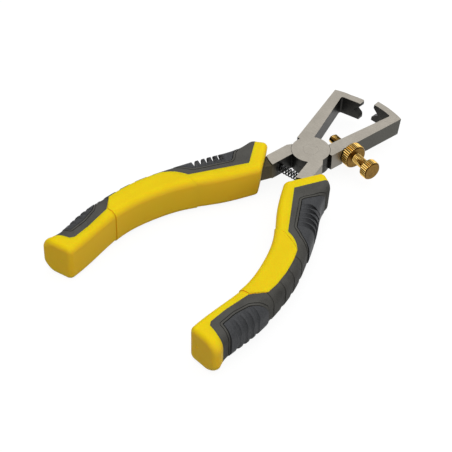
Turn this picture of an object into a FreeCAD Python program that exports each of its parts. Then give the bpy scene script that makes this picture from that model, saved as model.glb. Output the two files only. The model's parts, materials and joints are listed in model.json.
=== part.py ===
"""Wire stripper with an adjusting screw: two lapped steel levers, a return spring and two moulded grips.

Frame: +Y points to the jaws, +X to the right lever's jaw, +Z up.  The origin is on the pivot axis,
at the flat underside of the head.  Each function builds one piece, in place, with the jaws open.
"""
import FreeCAD, Part
import math
import os
from FreeCAD import Rotation, Vector

# ---- Head and pivot joint (millimetres, degrees) ----
head_thickness = 7.2        # ground thickness of the head
lap_gap = 0.08              # running gap between the two half laps
disc_radius = 7.6           # round boss of each half lap
shoulder_clearance = 0.15   # from a boss to the other lever's shoulders
rivet_diameter = 6.0
rivet_clearance = 0.03      # radial, where the upper lever turns on the rivet
ground_radius = 17.75       # round ground flats on both sides of the head
forged_step = 0.4           # the forged tang lies this far below the ground flats

# ---- Jaw arms ----
arm_root_y = 2.4            # flat root end of an arm, beside the boss
arm_root_x = 8.55           # its outer corner
arm_outer_lean = 11.5       # lean of the outer side from +Y
arm_inner_root = (3.55, 6.95)
arm_inner_lean = 14.65      # lean of the inner side from +Y
inner_corner_radius = 0.8

# ---- Cutting hooks ----
shear_radius = 38.95        # inner face of the front hook, about the pivot
shear_clearance = 0.12      # between the two hooks as they pass
front_hook_thickness = 2.75
rear_hook_thickness = 3.05
rear_hook_root = 2.57       # the rear hook's thickness where it leaves the arm
rear_tip_x = 2.1            # from the middle line to the rear hook's tip
front_tip_x = 2.45          # and to the front hook's tip
rear_corner_bulge = 0.75    # the rear hook's outer corner stands out from the shear radius
crown_share = 0.7           # share of that bulge already reached halfway to the corner
shear_length = 6.4          # the rear hook keeps the shear radius for this long
hook_slant = 1.1            # the hooks' faces lie this much further back at the underside
hook_margin = 0.3           # a hook is drawn wider than the arm, then trimmed to its outer side
tip_chamfer = 0.5           # on the rear hook's tip
notch_depth = 2.7           # V notch, on the shearing face
notch_height = 3.9
notch_relief = 0.9          # the notch is wider by this on the relieved face
notch_overrun = 1.0         # the notch's cutting form runs this far past the hook on every side

# ---- Tangs ----
tang_outer_root = (7.5, -2.05)
tang_shoulder = (8.85, -4.0)
tang_inner_root = (3.85, -7.05)
tang_neck = (8.3, -16.0)    # middle of the tang where it meets the grip
tang_neck_width = 5.6
tang_bend = (16.2, -31.5)
tang_bend_width = 5.2
tang_knee = (24.8, -46.0)
tang_knee_width = 4.8
tang_end = (32.0, -68.0)
tang_end_width = 4.0

# ---- Return spring ----
spring_y = -13.0
spring_outer_diameter = 3.3
spring_wire = 0.55
spring_turns = 8
spring_seat_depth = 0.7
spring_seat_clearance = 0.15
spring_end_gap = 0.08

# ---- Adjusting screw and lock nut ----
screw_y = 12.0              # where the screw's axis leaves the right arm's outer side
screw_lean = 14.8           # lean of the axis from +X, towards -Y
spot_face_depth = 0.2
spot_face_margin = 0.3
spigot_diameter = 2.6       # the stud's end, inside the knob
spigot_length = 2.0
spigot_clearance = 0.05
screw_diameter = 4.0
thread_pitch = 0.7
thread_depth = 0.4
thread_crest = (0.45, 0.55)  # where the crest starts and ends, as shares of the pitch
screw_clearance = 0.1       # radial, in the arm and in the nut
screw_inner_length = 10.9   # from the arm's outer side to the tip
screw_outer_length = 13.8   # from the arm's outer side to the knob's outer face
knob_diameter = 7.8
knob_thickness = 3.6
knob_teeth = 30
nut_diameter = 9.8
nut_thickness = 3.9
nut_teeth = 36
knurl_depth = 0.3
edge_chamfer = 0.5
nut_seat_gap = 0.05

# ---- Grips ----
# Stations along the middle line: x, y, half width, top, bottom, outer and lower inner rounding.
grip_stations = [
    (7.6, -9.0, 8.2, 9.9, -3.3, 3.2, 1.8),
    (12.0, -17.2, 8.85, 10.2, -3.6, 3.2, 1.8),
    (16.2, -28.05, 7.7, 10.25, -3.7, 3.9, 1.8),
    (22.1, -37.95, 7.4, 10.3, -3.7, 4.6, 1.8),
    (27.7, -48.0, 6.5, 10.4, -3.6, 4.9, 2.0),
    (32.1, -59.0, 6.3, 10.6, -3.5, 5.0, 2.2),
    (34.75, -70.3, 6.0, 10.75, -3.6, 5.2, 2.5),
    (35.5, -81.6, 6.05, 10.9, -3.8, 5.2, 2.5),
    (34.6, -93.4, 6.1, 11.0, -4.2, 5.0, 2.5),
    (37.5, -111.0, 7.9, 11.2, -4.2, 5.0, 2.5),
]
upper_inner_corner = 2.5    # rounding of the section's upper inner corner
least_corner = 0.4          # and of any corner of an inset section
front_corner = (6.6, -22.9)
front_angle = 60.5          # the front face's direction from +X
front_draft = 5.4           # its top leans towards the jaws by this
shoulder_corner = (14.0, -10.4)
shoulder_angle = -31.4      # direction of the shoulder, from that corner to the grip's outer side
rear_face_y = -106.0        # at the end of the grip, where x is rear_face_x
rear_face_x = 36.0
rear_face_angle = 7.5
front_rounding = 2.0
rear_rounding = 2.0
loft_degree = 3             # the form stays smooth between its stations
cover_depth = 2.5           # thickness of the soft cover
pad_depth = 1.8             # thickness of a rib pad below the cover's surface
pad_rise = 0.15             # and above it, before the pad is shifted
pad_shift = 0.3             # a pad lies this much further out, and its top and bottom lie this much lower
pad_groove = 0.3            # groove around a pad
contour_gap = 0.7           # from that groove to the second one, a line in the cover
contour_width = 0.3
contour_depth = 0.35
panel_rise = 0.25           # the core's bare middle stands proud by this
panel_shift = 0.1           # before it is shifted inwards by this
panel_line_width = 0.3      # fine groove at the foot of that panel
panel_line_depth = 0.25

# ---- Cover, rib pads and panel: plan outlines of the right grip ----
cover_front = [(18.6, -11.0), (11.0, -24.7), (24.1, -45.2)]
panel_nose = [(29.3, -47.5), (32.6, -50.6)]     # middle and end of an arc that goes on from there
panel_side = [(36.3, -61.0), (38.0, -74.2)]     # and of the next
cover_rear = [(33.8, -79.9), (32.4, -91.0), (32.2, -98.3), (33.2, -99.9), (37.7, -101.3), (44.5, -102.4)]
front_pad_outline = [(21.6, -17.0), (19.9, -23.4), (17.7, -26.8), (17.4, -28.0), (25.1, -40.9), (29.5, -43.3),
                     (36.0, -45.3)]
rear_pad_outline = [(43.0, -77.0), (39.8, -80.6), (37.7, -83.8), (36.3, -90.0), (36.2, -96.4), (40.0, -97.0),
                    (44.0, -96.6)]
panel_front = [(8.0, -43.0), (20.6, -46.6), (22.4, -46.4), (24.1, -46.8), (26.3, -47.5), (29.5, -49.0)]
panel_rear = [(33.6, -79.3), (29.5, -79.5), (15.0, -80.5)]
outline_reach = 12.0        # how far the outlines run on, past the grip's outer side
rib_groove_radius = 1.15    # the rib grooves are cut by rings across the grip, whose section has this radius
front_rib_radius = 7.5
front_rib_shift = 0.0       # the rings' centres lie this far inwards of the middle line
front_rib_start = 24.6      # the first groove, along the middle line from its first station
front_rib_pitch = 2.55
front_rib_count = 5
rear_rib_radius = 9.2
rear_rib_shift = 1.7
rear_rib_start = 80.8
rear_rib_pitch = 3.1
rear_rib_count = 4
step_start = 51.2           # shallow steps across the cover's waist, placed as the ribs are
step_pitch = 6.9
step_count = 4
step_length = 3.1
step_depth = 0.22
gate_radius = 0.5           # recess where the core was filled, in its end face
gate_depth = 0.2
gate_place = (-3.8, 4.3)    # inwards from the end of the middle line, and height

middle_z = head_thickness / 2
lap_z = lap_gap / 2
large = 400.0               # beyond every piece
slight = 1.0                # a cutting form runs this far past a face
fine = 0.001                # tolerance of a touch


def point(xy, z=0.0):
    return Vector(xy[0], xy[1], z)


def polygon(points, z=0.0):
    """Flat face inside a closed run of straight sides."""
    corners = [point(xy, z) for xy in points]
    return Part.Face(Part.makePolygon(corners + corners[:1]))


def prism(points, bottom, top):
    """Upright block on a plan outline."""
    return polygon(points, bottom).extrude(Vector(0, 0, top - bottom))


def disc(radius, bottom, top):
    return Part.makeCylinder(radius, top - bottom, Vector(0, 0, bottom))


def mirrored(shape):
    """The same piece on the other side of the middle line."""
    return shape.mirror(Vector(0, 0, 0), Vector(1, 0, 0))


def on_circle(x, radius):
    """Point of a circle about the pivot, ahead of the pivot."""
    return (x, math.sqrt(radius * radius - x * x))


def along(start, lean, length):
    """Point at a distance from start, in a direction that leans from +Y to +X."""
    angle = math.radians(lean)
    return (start[0] + length * math.sin(angle), start[1] + length * math.cos(angle))


def line_to_circle(start, lean, radius):
    """Where a leaning line from start meets a circle about the pivot."""
    angle = math.radians(lean)
    reach = start[0] * math.sin(angle) + start[1] * math.cos(angle)
    square = start[0] ** 2 + start[1] ** 2 - radius ** 2
    return along(start, lean, math.sqrt(reach ** 2 - square) - reach)


def straight(start, end):
    return Part.LineSegment(point(start), point(end)).toShape()


def arc(start, through, end):
    return Part.Arc(point(start), point(through), point(end)).toShape()


def round_about_pivot(start, end):
    """Arc about the pivot from start to end."""
    radius = math.hypot(start[0], start[1])
    return arc(start, on_circle((start[0] + end[0]) / 2, radius), end)


# ---- Levers ----

def front_hook():
    """Plan edges of the right arm and its hook, which passes in front of the other one."""
    face_radius = shear_radius + front_hook_thickness
    inner_end = line_to_circle(arm_inner_root, arm_inner_lean, shear_radius)
    outer_end = line_to_circle((arm_root_x + hook_margin, arm_root_y), arm_outer_lean, face_radius)
    tip_inner = on_circle(front_tip_x, shear_radius)
    tip_outer = on_circle(front_tip_x, face_radius)
    return [straight(arm_inner_root, inner_end), round_about_pivot(inner_end, tip_inner),
            straight(tip_inner, tip_outer), round_about_pivot(tip_outer, outer_end)]


def rear_hook():
    """Plan edges of the other arm and its hook, drawn on the right and mirrored later."""
    face_radius = shear_radius - shear_clearance
    corner_radius = face_radius + rear_corner_bulge
    inner_end = line_to_circle(arm_inner_root, arm_inner_lean, face_radius - rear_hook_root)
    outer_end = line_to_circle((arm_root_x + hook_margin, arm_root_y), arm_outer_lean, corner_radius)
    tip_inner = on_circle(rear_tip_x, face_radius - rear_hook_thickness)
    tip_outer = on_circle(rear_tip_x, face_radius)
    shear_end = on_circle(rear_tip_x + shear_length, face_radius)
    crown = on_circle((shear_end[0] + outer_end[0]) / 2, face_radius + crown_share * rear_corner_bulge)
    tip_start = (rear_tip_x, tip_outer[1] - tip_chamfer)
    tip_outer = on_circle(rear_tip_x + tip_chamfer, face_radius)
    return [straight(arm_inner_root, inner_end), straight(inner_end, tip_inner),
            straight(tip_inner, tip_start), straight(tip_start, tip_outer),
            round_about_pivot(tip_outer, shear_end), arc(shear_end, crown, outer_end)]


def arm(edges):
    """Arm of a lever, closed through the boss, with its slanted hook and its rounded inner corner; edges run
    along the arm's inner side and round the hook to its outer side."""
    root = (arm_root_x, arm_root_y)
    inner_end = edges[0].lastVertex().Point
    outer_end = edges[-1].lastVertex().Point
    lean = math.radians(arm_inner_lean)
    slant = Vector(math.sin(lean), math.cos(lean), 0) * hook_slant
    inner_joint = inner_end - slant
    outer_joint = outer_end - slant
    bar = prism([(inner_joint.x, inner_joint.y), arm_inner_root, (0, arm_root_y), root,
                 (outer_joint.x, outer_joint.y)], 0, head_thickness)
    closing = [outer_end, outer_joint, inner_joint, inner_end]
    hook_face = Part.Face(Part.Wire(edges[1:] + Part.makePolygon(closing).Edges))
    hook_face.translate(-slant)
    hook = hook_face.extrude(slant + Vector(0, 0, head_thickness))
    beyond = along(root, arm_outer_lean, large)
    outside = prism([root, beyond, (beyond[0] + large, beyond[1]), (large, arm_root_y)],
                    -slight, head_thickness + slight)
    block = bar.fuse(hook).cut(outside).removeSplitter()
    corner = (inner_end + inner_joint) / 2 + Vector(0, 0, middle_z)
    near = [edge for edge in block.Edges if edge.CenterOfMass.distanceToPoint(corner) < slight]
    return block.makeFillet(inner_corner_radius, near)


def notch(tip_x, shear_face, relieved_face):
    """V notch across a hook, from its shearing face to the wider relieved face."""
    triangles = []
    for y, extra in ((shear_face, 0.0), (relieved_face, notch_relief)):
        half = (notch_height + extra) / 2
        mouth = tip_x - notch_overrun
        slope = notch_overrun * half / notch_depth
        low = Vector(mouth, y, middle_z - half - slope)
        high = Vector(mouth, y, middle_z + half + slope)
        root = Vector(tip_x + notch_depth, y, middle_z)
        triangles.append(Part.makePolygon([low, root, high, low]))
    return Part.makeLoft(triangles, True, True)


def tang_sides():
    """Outer and inner plan points of a tang, drawn on the right."""
    middle = [((tang_shoulder[0] + tang_inner_root[0]) / 2, (tang_shoulder[1] + tang_inner_root[1]) / 2),
              tang_neck, tang_bend, tang_knee, tang_end]
    widths = [0, tang_neck_width, tang_bend_width, tang_knee_width, tang_end_width]
    outer = [tang_outer_root, tang_shoulder]
    inner = [tang_inner_root]
    for index in range(1, len(middle)):
        before = middle[index - 1]
        after = middle[min(index + 1, len(middle) - 1)]
        run = (after[0] - before[0], after[1] - before[1])
        half = widths[index] / 2 / math.hypot(run[0], run[1])
        x, y = middle[index]
        outer.append((x - run[1] * half, y + run[0] * half))
        inner.append((x + run[1] * half, y - run[0] * half))
    return outer, inner


def tang(thickness):
    """Tang of a lever, drawn on the right, centred in the head's thickness."""
    outer, inner = tang_sides()
    bottom = middle_z - thickness / 2
    bar = prism([(0, 0)] + outer + inner[::-1], bottom, bottom + thickness)
    end = Part.makeCylinder(tang_end_width / 2, thickness, point(tang_end, bottom))
    return bar.fuse(end)


def tang_inner_x(y):
    """How far a tang's inner side is from the middle line, near the spring."""
    top = tang_inner_root
    low = tang_sides()[1][1]
    return top[0] + (low[0] - top[0]) * (top[1] - y) / (top[1] - low[1])


def spring_half_space():
    """From the middle line to the bottom of a spring seat."""
    return tang_inner_x(spring_y) + spring_seat_depth


def lever(arm_block, upper):
    """Lever with its arm on the right and its tang on the left, lapped above or below."""
    forged = mirrored(tang(head_thickness - 2 * forged_step))
    ground = mirrored(tang(head_thickness)).common(disc(ground_radius, 0, head_thickness))
    body = arm_block.fuse([forged, ground])
    if upper:
        boss = disc(disc_radius, middle_z + lap_z, head_thickness)
        room = disc(disc_radius + shoulder_clearance, -slight, middle_z + lap_z)
    else:
        boss = disc(disc_radius, 0, middle_z - lap_z)
        room = disc(disc_radius + shoulder_clearance, middle_z - lap_z, head_thickness + slight)
    body = body.cut(room).fuse(boss)
    seat_radius = spring_outer_diameter / 2 + spring_seat_clearance
    seat = Part.makeCylinder(seat_radius, spring_half_space(), Vector(0, spring_y, middle_z),
                             Vector(-1, 0, 0))
    bore = rivet_diameter / 2 + (rivet_clearance if upper else 0.0)
    return body.cut([seat, disc(bore, -slight, head_thickness + slight)]).removeSplitter()


def right_jaw_lever():
    """Lower lever: right arm with the front hook and the adjusting screw, and the left tang."""
    block = arm(front_hook())
    relieved_face = shear_radius + front_hook_thickness
    block = block.cut(notch(front_tip_x, shear_radius - notch_overrun, relieved_face + notch_overrun))
    through = screw_rod(screw_diameter / 2 + screw_clearance, -large / 10, large / 10)
    spot_face = screw_rod(nut_diameter / 2 + spot_face_margin, -spot_face_depth, nut_thickness)
    return lever(block, False).cut([through, spot_face])


def left_jaw_lever():
    """Upper lever: left arm with the rear hook, and the right tang."""
    block = arm(rear_hook())
    relieved_face = shear_radius - rear_hook_thickness
    block = block.cut(notch(rear_tip_x, shear_radius + notch_overrun, relieved_face - notch_overrun))
    return mirrored(lever(block, True))


def pivot_rivet():
    """Rivet, ground flush on both sides of the head."""
    return disc(rivet_diameter / 2, 0, head_thickness)


# ---- Spring and adjusting screw ----

def return_spring():
    """Compression coil between the tangs."""
    half = spring_half_space() - spring_end_gap - spring_wire / 2
    radius = (spring_outer_diameter - spring_wire) / 2
    helix = Part.makeHelix(2 * half / spring_turns, 2 * half, radius)
    section = Part.Wire(Part.makeCircle(spring_wire / 2, Vector(radius, 0, 0), Vector(0, 1, 0)))
    coil = Part.Wire(helix.Edges).makePipeShell([section], True, True)
    coil.rotate(Vector(0, 0, 0), Vector(0, 1, 0), 90)
    coil.translate(Vector(-half, spring_y, middle_z))
    return coil


def screw_origin():
    """Where the screw's axis leaves the arm's outer side."""
    x = arm_root_x + (screw_y - arm_root_y) * math.tan(math.radians(arm_outer_lean))
    return Vector(x, screw_y, middle_z)


def on_screw_axis(shape):
    """Turn a shape made along +Z from the origin onto the screw's axis."""
    angle = math.radians(screw_lean)
    direction = Vector(math.cos(angle), -math.sin(angle), 0)
    turned = shape.copy()
    turned.Placement = FreeCAD.Placement(screw_origin(), Rotation(Vector(0, 0, 1), direction)).multiply(
        turned.Placement)
    return turned


def screw_rod(radius, start, end):
    return on_screw_axis(Part.makeCylinder(radius, end - start, Vector(0, 0, start)))


def knurled_disc(diameter, thickness, teeth, start):
    """Disc with a straight knurl and bevelled edges, on the +Z axis."""
    outer = diameter / 2
    points = []
    for tooth in range(teeth):
        for share, radius in ((0.0, outer), (0.5, outer - knurl_depth)):
            angle = 2 * math.pi * (tooth + share) / teeth
            points.append((radius * math.cos(angle), radius * math.sin(angle)))
    knurl = prism(points, start, start + thickness)
    lower = Part.makeCone(outer - edge_chamfer, outer, edge_chamfer, Vector(0, 0, start))
    middle = Part.makeCylinder(outer, thickness - 2 * edge_chamfer, Vector(0, 0, start + edge_chamfer))
    upper = Part.makeCone(outer, outer - edge_chamfer, edge_chamfer,
                          Vector(0, 0, start + thickness - edge_chamfer))
    return knurl.common(lower.fuse([middle, upper]))


def screw_stud():
    """Threaded shank, with a spigot that carries the knob."""
    outer = screw_diameter / 2
    root = outer - thread_depth
    start = -screw_inner_length
    end = screw_outer_length - knob_thickness
    profile = [(0, start), (root, start)]
    turns = int((end - start) / thread_pitch)
    for turn in range(turns):
        bottom = start + turn * thread_pitch
        profile += [(outer, bottom + share * thread_pitch) for share in thread_crest]
        profile.append((root, bottom + thread_pitch))
    profile += [(root, end), (spigot_diameter / 2, end)]
    profile += [(spigot_diameter / 2, end + spigot_length), (0, end + spigot_length)]
    corners = [Vector(x, 0, z) for x, z in profile]
    face = Part.Face(Part.makePolygon(corners + corners[:1]))
    return on_screw_axis(face.revolve(Vector(0, 0, 0), Vector(0, 0, 1), 360))


def screw_knob():
    """Knurled knob at the outer end of the stud."""
    start = screw_outer_length - knob_thickness
    bore = Part.makeCylinder(spigot_diameter / 2 + spigot_clearance, spigot_length + spigot_clearance,
                             Vector(0, 0, start))
    return on_screw_axis(knurled_disc(knob_diameter, knob_thickness, knob_teeth, start).cut(bore))


def lock_nut():
    """Knurled nut, seated on the arm's spot face."""
    start = nut_seat_gap - spot_face_depth
    bore = Part.makeCylinder(screw_diameter / 2 + screw_clearance, large, Vector(0, 0, -large / 2))
    return on_screw_axis(knurled_disc(nut_diameter, nut_thickness, nut_teeth, start).cut(bore))


# ---- Grips, drawn on the right ----

def grip_direction(index):
    """Unit direction of the middle line at a station, towards the end of the grip."""
    before = grip_stations[max(index - 1, 0)]
    after = grip_stations[min(index + 1, len(grip_stations) - 1)]
    run = (after[0] - before[0], after[1] - before[1])
    length = math.hypot(run[0], run[1])
    return (run[0] / length, run[1] / length)


def grip_section(index, inset):
    """Rounded section at a station, or a section that lies the inset below it."""
    x, y, half_width, top, bottom, outer, lower_inner = grip_stations[index]
    along_x, along_y = grip_direction(index)
    wide = half_width - inset

    def place(across, up):
        return Vector(x - along_y * across, y + along_x * across, up)

    def corner(side, level, towards_middle, rounding):
        """Side, middle and flat end of a rounded corner."""
        radius = max(rounding - inset, least_corner)
        near = radius * (1 - math.sqrt(0.5))
        height = level + inset * towards_middle
        return [place(side * wide, height + radius * towards_middle),
                place(side * (wide - near), height + near * towards_middle),
                place(side * (wide - radius), height)]

    corners = [corner(1, top, -1, outer)[::-1], corner(1, bottom, 1, outer),
               corner(-1, bottom, 1, lower_inner)[::-1], corner(-1, top, -1, upper_inner_corner)]
    edges = []
    for number, (start, middle, end) in enumerate(corners):
        following = corners[(number + 1) % len(corners)][0]
        edges.append(Part.Arc(start, middle, end).toShape())
        edges.append(Part.LineSegment(end, following).toShape())
    return Part.Wire(edges)


def grip_form(inset):
    """The grip's outer form, or a form that lies the inset below it."""
    sections = [grip_section(index, inset) for index in range(len(grip_stations))]
    return Part.makeLoft(sections, True, False, False, loft_degree)


def ahead_of(corner, angle):
    """Everything ahead of a drafted plane through a plan point at the middle of the head."""
    ahead = Part.makeBox(large, large, large, Vector(-large / 2, 0, -large / 2))
    ahead.rotate(Vector(0, 0, 0), Vector(1, 0, 0), -front_draft)
    ahead.rotate(Vector(0, 0, 0), Vector(0, 0, 1), angle)
    ahead.translate(point(corner, middle_z))
    return ahead


def front_face_block():
    """Everything ahead of the grip's slanted front face and of its shoulder."""
    return ahead_of(front_corner, front_angle).fuse(ahead_of(shoulder_corner, shoulder_angle))


def rear_face_block():
    """Everything behind the grip's end face."""
    behind = Part.makeBox(large, large, large, Vector(-large / 2, -large, -large / 2))
    behind.rotate(Vector(0, 0, 0), Vector(0, 0, 1), -rear_face_angle)
    behind.translate(Vector(rear_face_x, rear_face_y, 0))
    return behind


def edges_on(shape, block):
    """Edges of a shape that lie on the face of a cutting block."""
    found = []
    for edge in shape.Edges:
        middle = edge.valueAt((edge.FirstParameter + edge.LastParameter) / 2)
        if block.distToShape(Part.Vertex(middle))[0] < fine and not block.isInside(middle, fine, False):
            found.append(edge)
    return found


def trimmed_grip():
    """Grip form between its front and end faces, with rounded rims."""
    front = front_face_block()
    rear = rear_face_block()
    form = grip_form(0).cut([front, rear])
    form = form.makeFillet(front_rounding, edges_on(form, front))
    return form.makeFillet(rear_rounding, edges_on(form, rear))


def polyline(points):
    return [straight(start, end) for start, end in zip(points, points[1:])]


def closing_points(first, last):
    """Points that carry an outline on from its last point, round the grip's outer side to its first."""
    return [last, (last[0] + outline_reach, last[1]), (first[0] + 2 * outline_reach, first[1]), first]


def outline_block(outline, margin):
    """Upright block over a plan outline that runs on past the grip's outer side."""
    wire = Part.Wire(polyline(outline + closing_points(outline[0], outline[-1])[1:]))
    if margin > 0:
        wire = wire.makeOffset2D(margin)
    wire.translate(Vector(0, 0, -large / 2))
    return Part.Face(wire).extrude(Vector(0, 0, large))


def cover_block():
    """Upright block over the cover's outline, with the two arcs along the panel."""
    edges = polyline(cover_front)
    edges.append(arc(cover_front[-1], panel_nose[0], panel_nose[1]))
    edges.append(arc(panel_nose[1], panel_side[0], panel_side[1]))
    edges += polyline([panel_side[1]] + cover_rear)
    edges += polyline(closing_points(cover_front[0], cover_rear[-1]))
    wire = Part.Wire(edges)
    wire.translate(Vector(0, 0, -large / 2))
    return Part.Face(wire).extrude(Vector(0, 0, large))


def cover_room():
    """Room for the soft cover, from its seat on the core outwards."""
    return cover_block().cut(grip_form(cover_depth))


def pad_room(outline, margin):
    return outline_block(outline, margin).cut(grip_form(pad_depth))


def contour_line(outline):
    """Shallow line in the cover, around a pad's groove."""
    inner = pad_groove + contour_gap
    ring = outline_block(outline, inner + contour_width).cut(outline_block(outline, inner))
    return ring.cut(grip_form(contour_depth))


def panel_outline():
    """Plan points around the bare middle of the core, run on past the grip's outer side."""
    nose, rear = panel_nose[1], panel_side[1]
    outer = rear[0] + outline_reach
    return panel_front + [nose, (outer, nose[1]), (outer, rear[1]), rear] + panel_rear


def raised_panel():
    """Bare middle of the core, proud of the rest."""
    form = grip_form(-panel_rise)
    form.translate(Vector(-panel_shift, 0, 0))
    return form.common(prism(panel_outline(), -large / 2, large / 2))


def panel_line():
    """Fine groove in the core at the foot of the panel."""
    outline = panel_outline()
    wire = Part.Wire(polyline(outline + outline[:1])).makeOffset2D(panel_line_width)
    wire.translate(Vector(0, 0, -large / 2))
    ring = Part.Face(wire).extrude(Vector(0, 0, large)).cut(prism(outline, -large / 2, large / 2))
    return ring.cut(grip_form(panel_line_depth))


def gate_recess():
    """Round recess in the end face."""
    inwards, height = gate_place
    recess = Part.makeCylinder(gate_radius, 2 * gate_depth, Vector(inwards, -gate_depth, height),
                               Vector(0, 1, 0))
    recess.rotate(Vector(0, 0, 0), Vector(0, 0, 1), -rear_face_angle)
    recess.translate(Vector(rear_face_x, rear_face_y, 0))
    return recess


def grip_body():
    """Hard core of the grip, with its socket for the tang."""
    core = trimmed_grip().cut(panel_line()).fuse(raised_panel())
    return core.cut([cover_room(), grip_socket(), gate_recess()])


def grip_socket():
    """Room for the tang inside the grip."""
    return tang(head_thickness - 2 * forged_step)


def path_at(distance):
    """Point and direction of the middle line, at a distance from its first station."""
    for start, end in zip(grip_stations, grip_stations[1:]):
        run = (end[0] - start[0], end[1] - start[1])
        length = math.hypot(run[0], run[1])
        if distance <= length:
            share = distance / length
            return (start[0] + run[0] * share, start[1] + run[1] * share), (run[0] / length, run[1] / length)
        distance -= length


def rib_grooves(start, pitch, count, radius, shift):
    """Ring grooves across the grip, evenly spaced along its middle line."""
    rings = []
    for number in range(count):
        (x, y), direction = path_at(start + number * pitch)
        centre = Vector(x + direction[1] * shift, y - direction[0] * shift, middle_z)
        rings.append(Part.makeTorus(radius, rib_groove_radius, centre, Vector(direction[0], direction[1], 0)))
    return rings


def rib_pad(outline, grooves):
    """Proud pad of the cover, crossed by rib grooves."""
    low_top = grip_form(-pad_rise)
    low_top.translate(Vector(pad_shift, 0, -pad_shift))
    high_bottom = grip_form(-pad_rise)
    high_bottom.translate(Vector(pad_shift, 0, pad_shift))
    form = low_top.common(outline_block(outline, 0)).common(high_bottom)
    return form.cut([grip_form(pad_depth)] + grooves)


def front_rib_pad():
    grooves = rib_grooves(front_rib_start, front_rib_pitch, front_rib_count, front_rib_radius,
                          front_rib_shift)
    return rib_pad(front_pad_outline, grooves)


def rear_rib_pad():
    grooves = rib_grooves(rear_rib_start, rear_rib_pitch, rear_rib_count, rear_rib_radius, rear_rib_shift)
    return rib_pad(rear_pad_outline, grooves)


def waist_steps():
    """Shallow steps across the cover, between the two pads."""
    form = grip_form(step_depth)
    steps = []
    for number in range(step_count):
        centre, direction = path_at(step_start + number * step_pitch)
        slab = Part.makeBox(step_length, 4 * outline_reach, 4 * outline_reach,
                            Vector(0, -2 * outline_reach, -2 * outline_reach))
        slab.rotate(Vector(0, 0, 0), Vector(0, 0, 1), math.degrees(math.atan2(direction[1], direction[0])))
        slab.translate(point(centre))
        steps.append(slab.cut(form))
    return steps


def grip_cover():
    """Soft cover on the grip's outer side, with a pocket and a line around it for each rib pad."""
    cover = trimmed_grip().common(cover_room())
    for outline in (front_pad_outline, rear_pad_outline):
        cover = cover.cut([pad_room(outline, pad_groove), contour_line(outline)])
    return cover.cut(waist_steps())


def parts():
    """Every piece by its name."""
    pieces = {
        "right_jaw_lever": right_jaw_lever(),
        "left_jaw_lever": left_jaw_lever(),
        "pivot_rivet": pivot_rivet(),
        "return_spring": return_spring(),
        "adjusting_screw_stud": screw_stud(),
        "adjusting_screw_knob": screw_knob(),
        "adjusting_screw_lock_nut": lock_nut(),
    }
    for name, make in (("grip_body", grip_body), ("grip_cover", grip_cover),
                       ("front_rib_pad", front_rib_pad), ("rear_rib_pad", rear_rib_pad)):
        right = make()
        pieces["right_" + name] = right
        pieces["left_" + name] = mirrored(right)
    return pieces


os.makedirs("parts", exist_ok=True)
for name, shape in parts().items():
    shape.exportStep("parts/" + name + ".step")
    print(name, len(shape.Solids), shape.isValid(), round(shape.Volume, 1))
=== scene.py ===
"""Wire stripper with an adjusting screw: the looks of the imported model, in its own frame, in metres."""
import json
import math
import bpy
from mathutils import Matrix, Vector


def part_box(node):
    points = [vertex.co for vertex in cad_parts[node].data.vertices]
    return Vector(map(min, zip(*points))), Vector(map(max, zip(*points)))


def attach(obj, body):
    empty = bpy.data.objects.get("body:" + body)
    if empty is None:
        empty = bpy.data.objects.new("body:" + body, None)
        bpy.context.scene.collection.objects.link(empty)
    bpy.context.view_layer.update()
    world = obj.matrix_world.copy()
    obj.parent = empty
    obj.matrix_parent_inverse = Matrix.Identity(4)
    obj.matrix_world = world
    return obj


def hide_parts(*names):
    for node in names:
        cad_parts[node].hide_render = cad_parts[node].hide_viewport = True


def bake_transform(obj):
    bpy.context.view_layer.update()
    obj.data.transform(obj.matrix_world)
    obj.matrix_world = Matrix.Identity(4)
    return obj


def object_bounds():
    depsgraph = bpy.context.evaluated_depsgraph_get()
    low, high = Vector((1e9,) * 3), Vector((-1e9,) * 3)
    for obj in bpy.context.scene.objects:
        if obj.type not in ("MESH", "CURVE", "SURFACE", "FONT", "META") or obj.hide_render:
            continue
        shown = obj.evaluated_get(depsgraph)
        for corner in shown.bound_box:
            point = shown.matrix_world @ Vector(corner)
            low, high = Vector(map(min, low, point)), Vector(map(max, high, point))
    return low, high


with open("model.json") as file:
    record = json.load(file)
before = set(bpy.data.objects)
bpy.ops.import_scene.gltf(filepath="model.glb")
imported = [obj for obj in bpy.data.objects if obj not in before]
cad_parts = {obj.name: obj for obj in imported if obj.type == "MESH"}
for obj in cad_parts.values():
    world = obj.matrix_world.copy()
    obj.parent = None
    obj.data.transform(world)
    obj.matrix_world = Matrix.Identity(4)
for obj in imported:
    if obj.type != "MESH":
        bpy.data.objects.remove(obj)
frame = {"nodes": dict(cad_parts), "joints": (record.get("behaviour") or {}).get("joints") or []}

cad_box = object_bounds()

# ---- Levers and rivet ----
# The two halves are drop forged in chrome vanadium steel, blackened, then surface ground on both flats and
# along the arms' outer sides, with the rivet ground flush.  The ground flats are satin and warm grey with a
# fine mottle, the ground sides are painted darker as a painted shade, and the forged walls round the jaw
# window and the spring stay nearly black.
mm = 0.001
head_middle = 3.6 * mm      # height of the middle of the head's thickness
flat_distance = 3.5 * mm    # the ground flats lie further than this above and below it
boss_reach = 8.7 * mm       # the round boss and its walls lie within this of the pivot
tang_line = -13.5 * mm      # the tangs lie behind this


def linear(hex_colour):
    """Linear RGBA of an sRGB hex colour."""
    channels = [int(hex_colour[start:start + 2], 16) / 255 for start in (1, 3, 5)]
    return [c / 12.92 if c <= 0.04045 else ((c + 0.055) / 1.055) ** 2.4 for c in channels] + [1.0]


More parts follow.
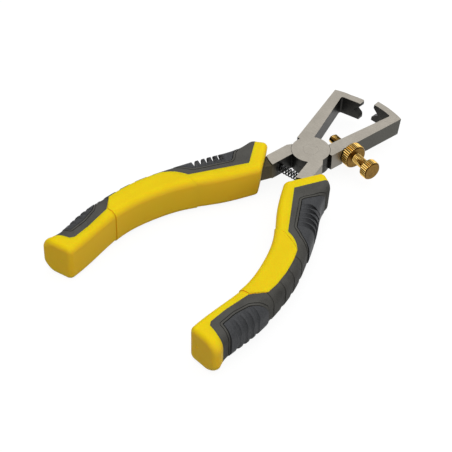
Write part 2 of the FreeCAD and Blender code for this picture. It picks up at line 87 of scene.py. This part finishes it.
def add(material, kind, links=None, **settings):
    """Add a node; links maps its input sockets to outputs or values, settings are its own properties."""
    made = material.node_tree.nodes.new(kind)
    for name, value in settings.items():
        setattr(made, name, value)
    for socket, value in (links or {}).items():
        if isinstance(value, bpy.types.NodeSocket):
            material.node_tree.links.new(value, made.inputs[socket])
        else:
            made.inputs[socket].default_value = value
    return made


def finish(name, shader):
    """New material; shader maps its surface's sockets to what they are all over."""
    material = bpy.data.materials.new(name)
    material.use_nodes = True
    surface = material.node_tree.nodes["Principled BSDF"]
    for socket, value in shader.items():
        surface.inputs[socket].default_value = value
    return material, surface


def shade(ramp, stops):
    """Colours of a ramp, as pairs of a position and an sRGB hex colour."""
    for element, (position, hex_colour) in zip(ramp.color_ramp.elements, stops):
        element.position = position
        element.color = linear(hex_colour)
    return ramp


def join(material, surface, patterns):
    """Join outputs to the surface's sockets."""
    for socket, output in patterns.items():
        material.node_tree.links.new(output, surface.inputs[socket])


def dress(obj, material):
    obj.data.materials.clear()
    obj.data.materials.append(material)


steel, surface = finish("ground and blackened forged steel", {"Metallic": 1.0})
place = add(steel, "ShaderNodeTexCoord")
at = add(steel, "ShaderNodeSeparateXYZ", {0: place.outputs["Object"]})
facing = add(steel, "ShaderNodeSeparateXYZ", {0: place.outputs["Normal"]})
# Ground flats: they face up or down.
level = add(steel, "ShaderNodeMath", {0: facing.outputs["Z"]}, operation="ABSOLUTE")
level = add(steel, "ShaderNodeMath", {0: level.outputs[0], 1: 0.7}, operation="GREATER_THAN")
height = add(steel, "ShaderNodeMath", {0: at.outputs["Z"], 1: -head_middle}, operation="ADD")
height = add(steel, "ShaderNodeMath", {0: height.outputs[0]}, operation="ABSOLUTE")
height = add(steel, "ShaderNodeMath", {0: height.outputs[0], 1: flat_distance}, operation="GREATER_THAN")
flats = add(steel, "ShaderNodeMath", {0: level.outputs[0], 1: height.outputs[0]}, operation="MULTIPLY")
# Ground sides, which get a painted shade: they face away from the middle line or ahead, clear of the round
# boss and the tangs.
hand = add(steel, "ShaderNodeMath", {0: at.outputs["X"]}, operation="SIGN")
outward = add(steel, "ShaderNodeMath", {0: facing.outputs["X"], 1: hand.outputs[0]}, operation="MULTIPLY")
outward = add(steel, "ShaderNodeMath", {0: outward.outputs[0], 1: 0.6}, operation="GREATER_THAN")
ahead = add(steel, "ShaderNodeMath", {0: facing.outputs["Y"], 1: 0.7}, operation="GREATER_THAN")
sides = add(steel, "ShaderNodeMath", {0: outward.outputs[0], 1: ahead.outputs[0]}, operation="MAXIMUM")
reach = add(steel, "ShaderNodeVectorMath", {0: place.outputs["Object"], 1: (0, 0, head_middle)},
            operation="DISTANCE")
clear = add(steel, "ShaderNodeMath", {0: reach.outputs["Value"], 1: boss_reach}, operation="GREATER_THAN")
sides = add(steel, "ShaderNodeMath", {0: sides.outputs[0], 1: clear.outputs[0]}, operation="MULTIPLY")
head = add(steel, "ShaderNodeMath", {0: at.outputs["Y"], 1: tang_line}, operation="GREATER_THAN")
sides = add(steel, "ShaderNodeMath", {0: sides.outputs[0], 1: head.outputs[0]}, operation="MULTIPLY")
# The wheel's scratches lie 0.1 mm apart, drawn at 0.3 mm so that they show, over a mottle of 0.45 mm where
# the forged skin was only just cleaned up, and slow changes of tone across the head.
along = add(steel, "ShaderNodeMapping", {"Vector": place.outputs["Object"], "Rotation": (0, 0, 0.35),
                                         "Scale": (0.12, 1.0, 1.0)})
scratches = add(steel, "ShaderNodeTexNoise", {"Vector": along.outputs[0], "Scale": 1 / (0.3 * mm),
                                              "Detail": 2.0})
mottle = add(steel, "ShaderNodeTexNoise", {"Vector": place.outputs["Object"], "Scale": 1 / (0.45 * mm),
                                           "Detail": 3.0, "Roughness": 0.6})
tone = add(steel, "ShaderNodeTexNoise", {"Vector": place.outputs["Object"], "Scale": 1 / (9.0 * mm),
                                         "Detail": 2.0})
grain = add(steel, "ShaderNodeMath", {0: scratches.outputs["Fac"], 1: 0.35}, operation="MULTIPLY")
grain = add(steel, "ShaderNodeMath", {0: mottle.outputs["Fac"], 1: 0.4, 2: grain.outputs[0]},
            operation="MULTIPLY_ADD")
grain = add(steel, "ShaderNodeMath", {0: tone.outputs["Fac"], 1: 0.25, 2: grain.outputs[0]},
            operation="MULTIPLY_ADD")
bright = shade(add(steel, "ShaderNodeValToRGB", {"Fac": grain.outputs[0]}),
               [(0.3, "#9C968C"), (0.7, "#BBB5AA")])
# Painted shade: the ground sides are painted darker than the flats, and lighter towards the boss.
side_shade_fac = add(steel, "ShaderNodeMapRange", {"Value": at.outputs["Y"], "From Min": 3.0 * mm,
                                           "From Max": 13.0 * mm})
side_shade_fac = add(steel, "ShaderNodeMath", {0: grain.outputs[0], 1: -0.5, 2: side_shade_fac.outputs[0]},
             operation="MULTIPLY_ADD")
side_shade_grey = shade(add(steel, "ShaderNodeValToRGB", {"Fac": side_shade_fac.outputs[0]}),
             [(0.0, "#8C8880"), (0.75, "#55544F")])
black = shade(add(steel, "ShaderNodeValToRGB", {"Fac": grain.outputs[0]}),
              [(0.3, "#2B2B2D"), (0.7, "#45443F")])
# Scale on the tangs beside the grips, where the black has worn thin, is brownish.
worn = shade(add(steel, "ShaderNodeValToRGB", {"Fac": grain.outputs[0]}),
             [(0.3, "#403A2D"), (0.7, "#5C5440")])
behind = add(steel, "ShaderNodeMapRange", {"Value": at.outputs["Y"], "From Min": -14.0 * mm,
                                           "From Max": -16.5 * mm})
skin = add(steel, "ShaderNodeMix", {"Factor": behind.outputs[0], 6: black.outputs[0], 7: worn.outputs[0]},
           data_type="RGBA")
skin = add(steel, "ShaderNodeMix", {"Factor": sides.outputs[0], 6: skin.outputs[2], 7: side_shade_grey.outputs[0]},
           data_type="RGBA")
skin = add(steel, "ShaderNodeMix", {"Factor": flats.outputs[0], 6: skin.outputs[2], 7: bright.outputs[0]},
           data_type="RGBA")
satin = add(steel, "ShaderNodeMapRange", {"Value": grain.outputs[0], "From Min": 0.3, "From Max": 0.7,
                                          "To Min": 0.5, "To Max": 0.38})
relief = add(steel, "ShaderNodeBump", {"Height": grain.outputs[0], "Strength": 0.3, "Distance": 0.03 * mm})
join(steel, surface, {"Base Color": skin.outputs[2], "Roughness": satin.outputs[0],
                      "Normal": relief.outputs[0]})
nodes = frame["nodes"]
for name in ("right_jaw_lever", "left_jaw_lever", "pivot_rivet"):
    dress(nodes[name], steel)

# ---- Return spring ----
# Compression coil, wound cold from oil-tempered wire, with its ends in blind seats in the two tangs.  The
# real one shortens when the handles close; this one is drawn at one length.  The wire is dark and smooth,
# with sharp glints along each turn.
low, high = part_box("return_spring")
wire_diameter = 0.55 * mm
spring_turns = 8
coil_radius = (high[2] - low[2] - wire_diameter) / 2
coil_length = high[0] - low[0] - wire_diameter
bpy.ops.object.select_all(action="DESELECT")
bpy.ops.mesh.primitive_circle_add(vertices=10, radius=wire_diameter / 2, location=(0, 0, coil_radius),
                                  rotation=(math.pi / 2, 0, 0))
spring = bpy.context.object
spring.name = "return_spring_coil"
bpy.ops.object.transform_apply(location=True, rotation=True, scale=True)
winding = spring.modifiers.new("winding", "SCREW")
winding.axis = "X"
winding.angle = 2 * math.pi
winding.screw_offset = coil_length / spring_turns
winding.iterations = spring_turns
winding.steps = winding.render_steps = 28
bpy.ops.object.modifier_apply(modifier="winding")
bpy.ops.object.mode_set(mode="EDIT")
bpy.ops.mesh.select_all(action="SELECT")
bpy.ops.mesh.remove_doubles(threshold=0.001 * mm)
bpy.ops.mesh.fill_holes(sides=12)
bpy.ops.mesh.normals_make_consistent(inside=False)
bpy.ops.transform.translate(value=(low[0] + wire_diameter / 2, (low[1] + high[1]) / 2,
                                   (low[2] + high[2]) / 2))
bpy.ops.object.mode_set(mode="OBJECT")
bpy.ops.object.shade_smooth_by_angle(angle=math.radians(50))
tempered, surface = finish("oil-tempered spring wire", {"Metallic": 1.0})
place = add(tempered, "ShaderNodeTexCoord")
# Scale of the tempering oil, in patches of about 0.4 mm.
scale = add(tempered, "ShaderNodeTexNoise", {"Vector": place.outputs["Object"], "Scale": 1 / (0.4 * mm),
                                             "Detail": 3.0})
oiled = shade(add(tempered, "ShaderNodeValToRGB", {"Fac": scale.outputs["Fac"]}),
              [(0.35, "#18181A"), (0.7, "#3A3A39")])
slick = add(tempered, "ShaderNodeMapRange", {"Value": scale.outputs["Fac"], "To Min": 0.15, "To Max": 0.32})
join(tempered, surface, {"Base Color": oiled.outputs[0], "Roughness": slick.outputs[0]})
dress(spring, tempered)
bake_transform(spring)
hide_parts("return_spring")

# ---- Adjusting screw and lock nut ----
# Turned from free-cutting brass bar, with a rolled M4 thread and straight knurls, and left unplated.  The
# knurls and the thread's crests shine golden; the turned end faces are duller, with rings from the tool.
knob_turn = next(joint for joint in frame["joints"] if joint["name"] == "knob_turn")
knob_face = Vector(knob_turn["pos_m"])
inward = Vector(knob_turn["axis"]).normalized()
pitch = 0.7 * mm
root_radius = 1.6 * mm
crest_radius = 2.0 * mm
crest_width = 0.07 * mm
thread_start = 3.6 * mm     # from the knob's outer face
thread_end = 24.7 * mm
spigot_radius = 1.3 * mm    # inside the knob
spigot_end = 0.3 * mm
bpy.ops.object.select_all(action="DESELECT")
bpy.ops.mesh.primitive_plane_add(size=pitch, location=((root_radius + crest_radius) / 2, 0, thread_start),
                                 rotation=(math.pi / 2, 0, 0))
stud = bpy.context.object
stud.name = "adjusting_screw_thread"
bpy.ops.object.transform_apply(location=True, rotation=True, scale=True)


def pick(obj, kind, wanted):
    """In edit mode, select only the obj's vertices, edges or faces that wanted(middle) accepts."""
    bpy.ops.mesh.select_all(action="DESELECT")
    bpy.ops.mesh.select_mode(type={"vertices": "VERT", "edges": "EDGE", "polygons": "FACE"}[kind])
    bpy.ops.object.mode_set(mode="OBJECT")
    mesh = obj.data
    for item in getattr(mesh, kind):
        if kind == "vertices":
            middle = item.co
        else:
            corners = [mesh.vertices[index].co for index in item.vertices]
            middle = sum(corners, Vector()) / len(corners)
        item.select = wanted(middle)
    bpy.ops.object.mode_set(mode="EDIT")


# One turn of the thread's profile is a plane without its face and its inner edge.
bpy.ops.object.mode_set(mode="EDIT")
bpy.ops.mesh.select_all(action="SELECT")
bpy.ops.transform.resize(value=((crest_radius - root_radius) / pitch, 1, 1),
                         center_override=((root_radius + crest_radius) / 2, 0, thread_start))
bpy.ops.mesh.delete(type="ONLY_FACE")
pick(stud, "edges", lambda middle: middle.x < root_radius + 0.01 * mm)
bpy.ops.mesh.delete(type="EDGE")
pick(stud, "vertices", lambda middle: middle.x > crest_radius - 0.01 * mm)
bpy.ops.transform.resize(value=(1, 1, crest_width / pitch), center_override=(crest_radius, 0, thread_start))
bpy.ops.object.mode_set(mode="OBJECT")
rolling = stud.modifiers.new("rolling", "SCREW")
rolling.axis = "Z"
rolling.angle = 2 * math.pi
rolling.screw_offset = pitch
rolling.iterations = math.ceil((thread_end - thread_start) / pitch) + 2
rolling.steps = rolling.render_steps = 32
bpy.ops.object.modifier_apply(modifier="rolling")
bpy.ops.object.mode_set(mode="EDIT")
bpy.ops.mesh.select_all(action="SELECT")
bpy.ops.mesh.remove_doubles(threshold=0.001 * mm)
bpy.ops.mesh.bisect(plane_co=(0, 0, thread_start + pitch), plane_no=(0, 0, 1), use_fill=True,
                    clear_inner=True, threshold=0.0001 * mm)
bpy.ops.mesh.select_all(action="SELECT")
bpy.ops.mesh.bisect(plane_co=(0, 0, thread_end), plane_no=(0, 0, 1), use_fill=True, clear_outer=True,
                    threshold=0.0001 * mm)
pick(stud, "vertices", lambda middle: middle.z > thread_end - 0.01 * mm)
bpy.ops.transform.resize(value=(0.8, 0.8, 1), center_override=(0, 0, thread_end))
pick(stud, "polygons", lambda middle: middle.z < thread_start + pitch + 0.001 * mm)
bpy.ops.mesh.inset(thickness=root_radius - spigot_radius)
bpy.ops.mesh.extrude_region_move(TRANSFORM_OT_translate={"value": (0, 0, spigot_end - thread_start - pitch)})
bpy.ops.mesh.select_all(action="SELECT")
bpy.ops.mesh.normals_make_consistent(inside=False)
bpy.ops.object.mode_set(mode="OBJECT")
stud.matrix_world = (Matrix.Translation(knob_face)
                     @ inward.to_track_quat("Z", "Y").to_matrix().to_4x4())
bpy.ops.object.transform_apply(location=True, rotation=True, scale=True)
bpy.ops.object.shade_smooth_by_angle(angle=math.radians(25))
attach(stud, "screw")
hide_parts("adjusting_screw_stud")
# Painted shade: the grooves of the knurls and the thread are painted dark, by the depth below each piece's
# outer radius.  The thread has a little of this painted shade on its crests too.
knurl_depth = 0.3 * mm
knob_radius = 3.9 * mm
nut_radius = 4.9 * mm
brass_pieces = [("thread", stud, crest_radius, crest_radius - root_radius, 0.25),
                ("knob", nodes["adjusting_screw_knob"], knob_radius, knurl_depth, 0.0),
                ("lock nut", nodes["adjusting_screw_lock_nut"], nut_radius, knurl_depth, 0.0)]
for label, piece, outer_radius, groove_depth, crest_shade in brass_pieces:
    brass, surface = finish("turned free-cutting brass, " + label, {"Metallic": 1.0})
    place = add(brass, "ShaderNodeTexCoord")
    outwards = add(brass, "ShaderNodeVectorMath", {0: place.outputs["Object"], 1: knob_face},
                   operation="SUBTRACT")
    depth = add(brass, "ShaderNodeVectorMath", {0: outwards.outputs["Vector"], 1: inward},
                operation="DOT_PRODUCT")
    on_axis = add(brass, "ShaderNodeVectorMath", {0: inward, "Scale": depth.outputs["Value"]},
                  operation="SCALE")
    radius = add(brass, "ShaderNodeVectorMath", {0: outwards.outputs["Vector"], 1: on_axis.outputs["Vector"]},
                 operation="DISTANCE")
    # The tool left rings 0.1 mm apart on the end faces, drawn at 0.35 mm so that they show.
    ring = add(brass, "ShaderNodeMath", {0: radius.outputs["Value"], 1: 1 / (0.35 * mm)},
               operation="MULTIPLY")
    rings = add(brass, "ShaderNodeTexNoise", {"W": ring.outputs[0], "Scale": 1.0, "Detail": 1.0},
                noise_dimensions="1D")
    tarnish = add(brass, "ShaderNodeTexNoise", {"Vector": place.outputs["Object"], "Scale": 1 / (1.2 * mm),
                                                "Detail": 3.0})
    end = add(brass, "ShaderNodeVectorMath", {0: place.outputs["Normal"], 1: inward},
              operation="DOT_PRODUCT")
    end = add(brass, "ShaderNodeMath", {0: end.outputs["Value"]}, operation="ABSOLUTE")
    end = add(brass, "ShaderNodeMath", {0: end.outputs[0], 1: 0.9}, operation="GREATER_THAN")
    polished = shade(add(brass, "ShaderNodeValToRGB", {"Fac": tarnish.outputs["Fac"]}),
                     [(0.3, "#EDB858"), (0.65, "#FFDC86")])
    turned = add(brass, "ShaderNodeMath", {0: tarnish.outputs["Fac"], 1: rings.outputs["Fac"]},
                 operation="MULTIPLY")
    turned = shade(add(brass, "ShaderNodeValToRGB", {"Fac": turned.outputs[0]}),
                   [(0.15, "#745622"), (0.35, "#8E6C2B")])
    # Painted shade: dark in the grooves, and a little over the thread's crests.
    groove_shade = add(brass, "ShaderNodeMapRange", {
        "Value": radius.outputs["Value"], "From Min": outer_radius - 0.5 * groove_depth,
        "From Max": outer_radius - 0.8 * groove_depth, "To Min": crest_shade, "To Max": 1.0})
    gold = add(brass, "ShaderNodeMix", {"Factor": groove_shade.outputs[0], 6: polished.outputs[0],
                                        7: linear("#442806")}, data_type="RGBA")
    gold = add(brass, "ShaderNodeMix", {"Factor": end.outputs[0], 6: gold.outputs[2],
                                        7: turned.outputs[0]}, data_type="RGBA")
    matt = add(brass, "ShaderNodeMath", {0: end.outputs[0], 1: 0.26, 2: 0.12}, operation="MULTIPLY_ADD")
    cuts = add(brass, "ShaderNodeMath", {0: rings.outputs["Fac"], 1: end.outputs[0]}, operation="MULTIPLY")
    relief = add(brass, "ShaderNodeBump", {"Height": cuts.outputs[0], "Strength": 0.4,
                                           "Distance": 0.03 * mm})
    join(brass, surface, {"Base Color": gold.outputs[2], "Roughness": matt.outputs[0],
                          "Normal": relief.outputs[0]})
    dress(piece, brass)

# ---- Grip cores ----
# Yellow polypropylene, injection moulded round each tang in a spark-eroded tool.  The satin skin has a fine
# even grain and hardly any gloss, and a little light passes through it, which warms its shaded sides; the
# sides are also painted a warmer tint, a painted shade.
yellow, surface = finish("moulded yellow polypropylene", {
    "IOR": 1.49, "Specular IOR Level": 0.1, "Subsurface Weight": 0.4,
    "Subsurface Radius": (1.0, 0.45, 0.1), "Subsurface Scale": 4.0 * mm})
place = add(yellow, "ShaderNodeTexCoord")
# The spark-eroded pits are 0.1 mm across, drawn at 0.4 mm so that they show.
pits = add(yellow, "ShaderNodeTexNoise", {"Vector": place.outputs["Object"], "Scale": 1 / (0.4 * mm),
                                          "Detail": 2.0})
flow = add(yellow, "ShaderNodeTexNoise", {"Vector": place.outputs["Object"], "Scale": 1 / (18.0 * mm),
                                          "Detail": 2.0})
tint = add(yellow, "ShaderNodeMath", {0: pits.outputs["Fac"], 1: 0.4}, operation="MULTIPLY")
tint = add(yellow, "ShaderNodeMath", {0: flow.outputs["Fac"], 1: 0.6, 2: tint.outputs[0]},
           operation="MULTIPLY_ADD")
tinted = shade(add(yellow, "ShaderNodeValToRGB", {"Fac": tint.outputs[0]}),
               [(0.35, "#E7C704"), (0.65, "#F0D206")])
# Painted shade: faces that stand sideways are tinted a warmer orange than the top, by their facing.
painted_light_by_facing = add(yellow, "ShaderNodeSeparateXYZ", {0: place.outputs["Normal"]})
painted_light_by_facing = add(yellow, "ShaderNodeMath", {0: painted_light_by_facing.outputs["Z"]}, operation="ABSOLUTE")
painted_light_by_facing = add(yellow, "ShaderNodeMapRange", {"Value": painted_light_by_facing.outputs[0], "From Min": 0.9,
                                             "From Max": 0.2})
tinted = add(yellow, "ShaderNodeMix", {"Factor": painted_light_by_facing.outputs[0], 6: tinted.outputs[0],
                                       7: linear("#EEC22C")}, data_type="RGBA")
satin = add(yellow, "ShaderNodeMapRange", {"Value": pits.outputs["Fac"], "To Min": 0.42, "To Max": 0.6})
relief = add(yellow, "ShaderNodeBump", {"Height": pits.outputs["Fac"], "Strength": 0.25,
                                        "Distance": 0.04 * mm})
join(yellow, surface, {"Base Color": tinted.outputs[2], "Roughness": satin.outputs[0],
                       "Normal": relief.outputs[0]})
for name in ("right_grip_body", "left_grip_body"):
    dress(nodes[name], yellow)

# ---- Grip covers ----
# Dark grey thermoplastic rubber, moulded over each core's outer side.  Its skin is matt and slightly mealy,
# and painted a little paler on top, a painted light by facing.
cover_rubber, surface = finish("overmoulded grey thermoplastic rubber", {
    "IOR": 1.5, "Specular IOR Level": 0.1})
place = add(cover_rubber, "ShaderNodeTexCoord")
# The moulded grain is 0.15 mm across, drawn at 0.45 mm so that it shows.
meal = add(cover_rubber, "ShaderNodeTexNoise", {"Vector": place.outputs["Object"], "Scale": 1 / (0.45 * mm),
                                                "Detail": 3.0})
dust = add(cover_rubber, "ShaderNodeTexNoise", {"Vector": place.outputs["Object"], "Scale": 1 / (6.0 * mm),
                                                "Detail": 3.0})
tint = add(cover_rubber, "ShaderNodeMath", {0: meal.outputs["Fac"], 1: 0.5}, operation="MULTIPLY")
tint = add(cover_rubber, "ShaderNodeMath", {0: dust.outputs["Fac"], 1: 0.5, 2: tint.outputs[0]},
           operation="MULTIPLY_ADD")
# Painted light: faces that look up are painted paler, and faces that look down darker.
painted_light_by_facing = add(cover_rubber, "ShaderNodeSeparateXYZ", {0: place.outputs["Normal"]})
tint = add(cover_rubber, "ShaderNodeMath", {0: painted_light_by_facing.outputs["Z"], 1: 0.25, 2: tint.outputs[0]},
           operation="MULTIPLY_ADD")
tinted = shade(add(cover_rubber, "ShaderNodeValToRGB", {"Fac": tint.outputs[0]}),
               [(0.4, "#3A3936"), (0.8, "#54534F")])
matt = add(cover_rubber, "ShaderNodeMapRange", {"Value": meal.outputs["Fac"], "To Min": 0.5, "To Max": 0.75})
relief = add(cover_rubber, "ShaderNodeBump", {"Height": meal.outputs["Fac"], "Strength": 0.3,
                                              "Distance": 0.05 * mm})
join(cover_rubber, surface, {"Base Color": tinted.outputs[0], "Roughness": matt.outputs[0],
                             "Normal": relief.outputs[0]})
for name in ("right_grip_cover", "left_grip_cover"):
    dress(nodes[name], cover_rubber)

# ---- Rib pads ----
# Softer black thermoplastic rubber, moulded into the covers as ribbed pads.  It is a shade darker and
# cooler than the cover, and smoother, so that the ribs' crests take a dull shine.
rib_rubber, surface = finish("overmoulded black thermoplastic rubber", {
    "IOR": 1.5, "Specular IOR Level": 0.12})
place = add(rib_rubber, "ShaderNodeTexCoord")
meal = add(rib_rubber, "ShaderNodeTexNoise", {"Vector": place.outputs["Object"], "Scale": 1 / (0.45 * mm),
                                              "Detail": 3.0})
tinted = shade(add(rib_rubber, "ShaderNodeValToRGB", {"Fac": meal.outputs["Fac"]}),
               [(0.3, "#3C3D3F"), (0.7, "#4B4C4E")])
matt = add(rib_rubber, "ShaderNodeMapRange", {"Value": meal.outputs["Fac"], "To Min": 0.42, "To Max": 0.6})
relief = add(rib_rubber, "ShaderNodeBump", {"Height": meal.outputs["Fac"], "Strength": 0.2,
                                            "Distance": 0.04 * mm})
join(rib_rubber, surface, {"Base Color": tinted.outputs[0], "Roughness": matt.outputs[0],
                           "Normal": relief.outputs[0]})
for name in ("right_front_rib_pad", "left_front_rib_pad", "right_rear_rib_pad", "left_rear_rib_pad"):
    dress(nodes[name], rib_rubber)

# ---- Floor, light and camera ----
# A plain white table top under soft studio light: one broad lamp overhead and behind the tool, weak ones in
# front and at its right, and an even surrounding.
low, high = cad_box
bpy.ops.object.select_all(action="DESELECT")
bpy.ops.mesh.primitive_plane_add(size=6.0, location=(0, 0, low[2]))
floor = bpy.context.object
floor.name = "floor"
table, surface = finish("white laminate", {"Base Color": (0.14, 0.14, 0.14, 1.0), "Roughness": 0.9,
                                           "Specular IOR Level": 0.0, "Emission Color": (1, 1, 1, 1)})
seen = add(table, "ShaderNodeLightPath")
glow = add(table, "ShaderNodeMath", {0: seen.outputs["Is Camera Ray"], 1: seen.outputs["Is Glossy Ray"]},
           operation="MAXIMUM")
glow = add(table, "ShaderNodeMath", {0: glow.outputs[0], 1: seen.outputs["Is Transmission Ray"]},
           operation="MAXIMUM")
glow = add(table, "ShaderNodeMath", {0: glow.outputs[0], 1: 0.9}, operation="MULTIPLY")
join(table, surface, {"Emission Strength": glow.outputs[0]})
dress(floor, table)

world = bpy.data.worlds.new("studio")
world.use_nodes = True
world.node_tree.nodes["Background"].inputs["Color"].default_value = (1.0, 1.0, 1.0, 1.0)
world.node_tree.nodes["Background"].inputs["Strength"].default_value = 0.5
bpy.context.scene.world = world


def lamp(name, place, target, size, power):
    """Square area lamp that looks at a point."""
    bpy.ops.object.light_add(type="AREA", location=place)
    made = bpy.context.object
    made.name = name
    made.data.size = size
    made.data.energy = power
    made.rotation_euler = (Vector(place) - Vector(target)).to_track_quat("Z", "Y").to_euler()


lamp("overhead lamp", (0.0, 0.25, 1.15), (0, -0.03, 0), 1.8, 9.7)
lamp("front lamp", (0.2, -1.0, 0.45), (0, -0.03, 0), 0.8, 1.0)
lamp("right lamp", (1.0, -0.3, 0.45), (0, -0.03, 0), 0.8, 2.7)

view = bpy.data.cameras.new("camera")
camera = bpy.data.objects.new("camera", view)
bpy.context.collection.objects.link(camera)
view.lens = 120.42
view.sensor_width = 36.0
camera.matrix_world = (Matrix.Translation((0.2596, -0.3708, 0.3877))
                       @ Matrix.Rotation(math.radians(39.11), 4, "Z")
                       @ Matrix.Rotation(math.radians(90 - 43.09), 4, "X")
                       @ Matrix.Rotation(math.radians(1.128), 4, "Z"))
scene = bpy.context.scene
scene.camera = camera
scene.view_settings.view_transform = "Standard"
